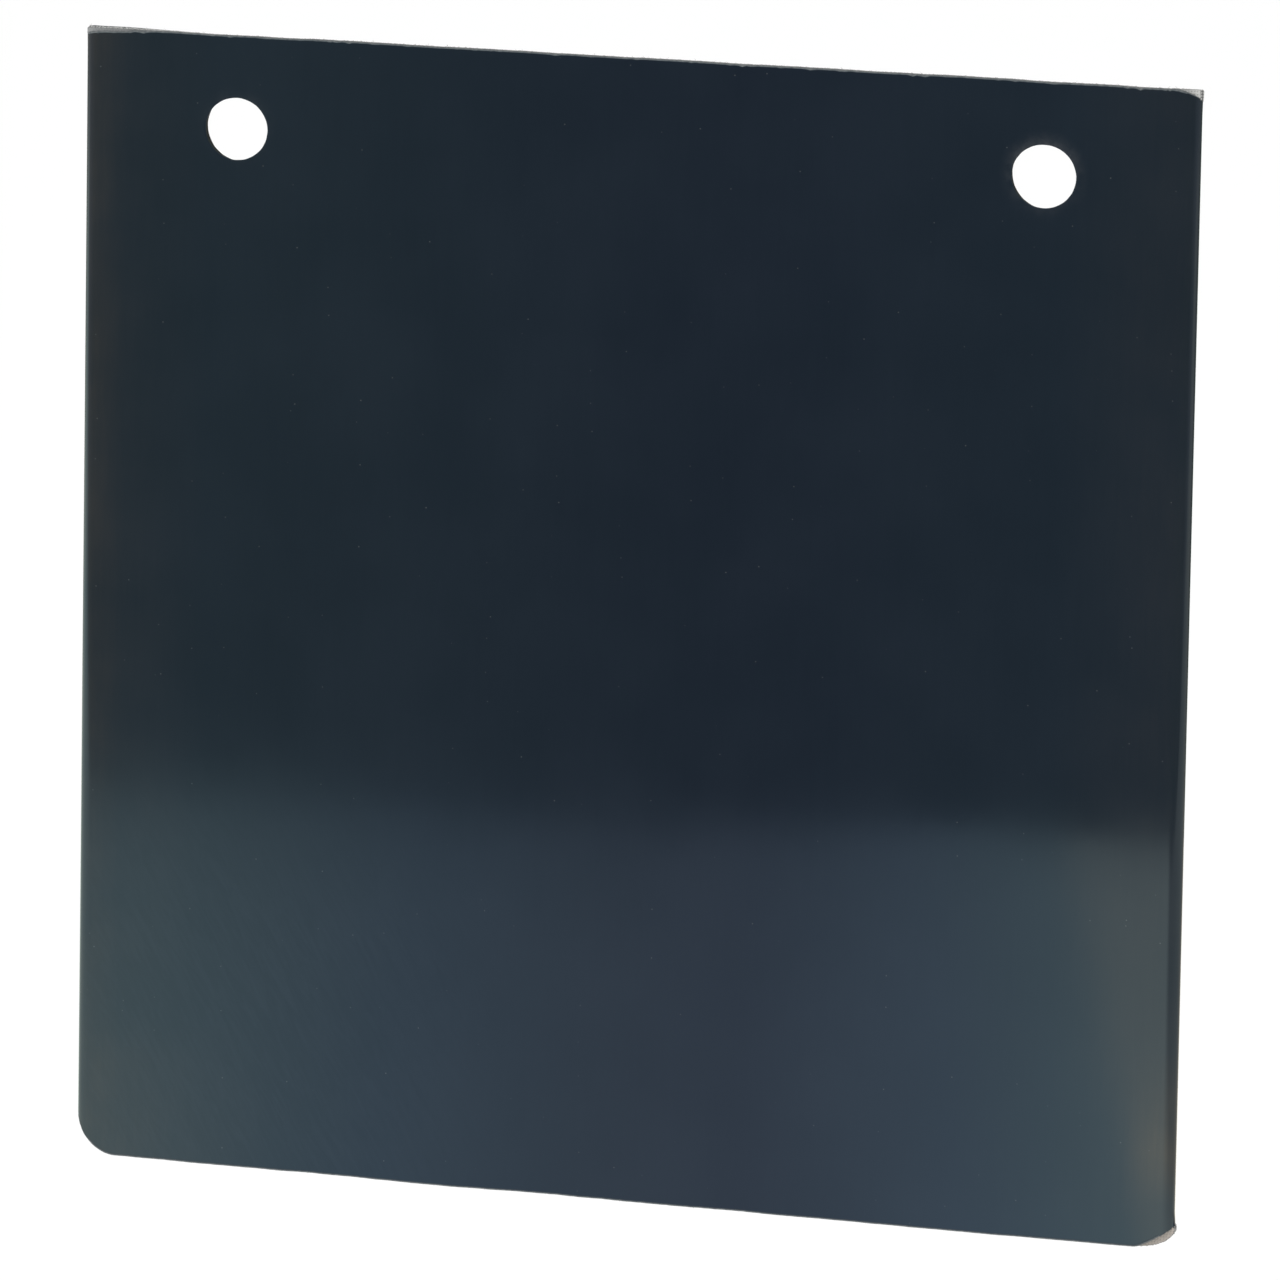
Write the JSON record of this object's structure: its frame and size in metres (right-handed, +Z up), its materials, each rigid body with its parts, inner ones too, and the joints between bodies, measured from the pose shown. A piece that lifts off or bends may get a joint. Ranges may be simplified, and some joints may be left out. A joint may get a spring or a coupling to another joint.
{
  "type": "mud flap",
  "caption": "Square reinforced-rubber mud flap: black covers over pale woven plies, square-cut top edge with round bolt holes near it, rounded bottom corners.",
  "frame": {"origin": "midway between the two bolt holes, on the rear face that lies against the bracket", "axes": "+Z up towards the top edge, -Y out of the front face, +Y out of the rear face along the bolts, +X to the right seen from the front"},
  "size_m": [0.254, 0.004, 0.254],
  "materials": {
    "cover_rubber": "semi-gloss calendered rubber, blue-black",
    "ply_fabric": "plain-woven pale grey reinforcement fabric, matt",
    "skim_rubber": "matt black bonding rubber"
  },
  "bodies": {
    "root": {"front_cover": "cover_rubber", "front_ply": "ply_fabric", "skim_layer": "skim_rubber", "rear_ply": "ply_fabric", "rear_cover": "cover_rubber", "left_edge_strip": "cover_rubber", "right_edge_strip": "cover_rubber"}
  },
  "joints": []
}
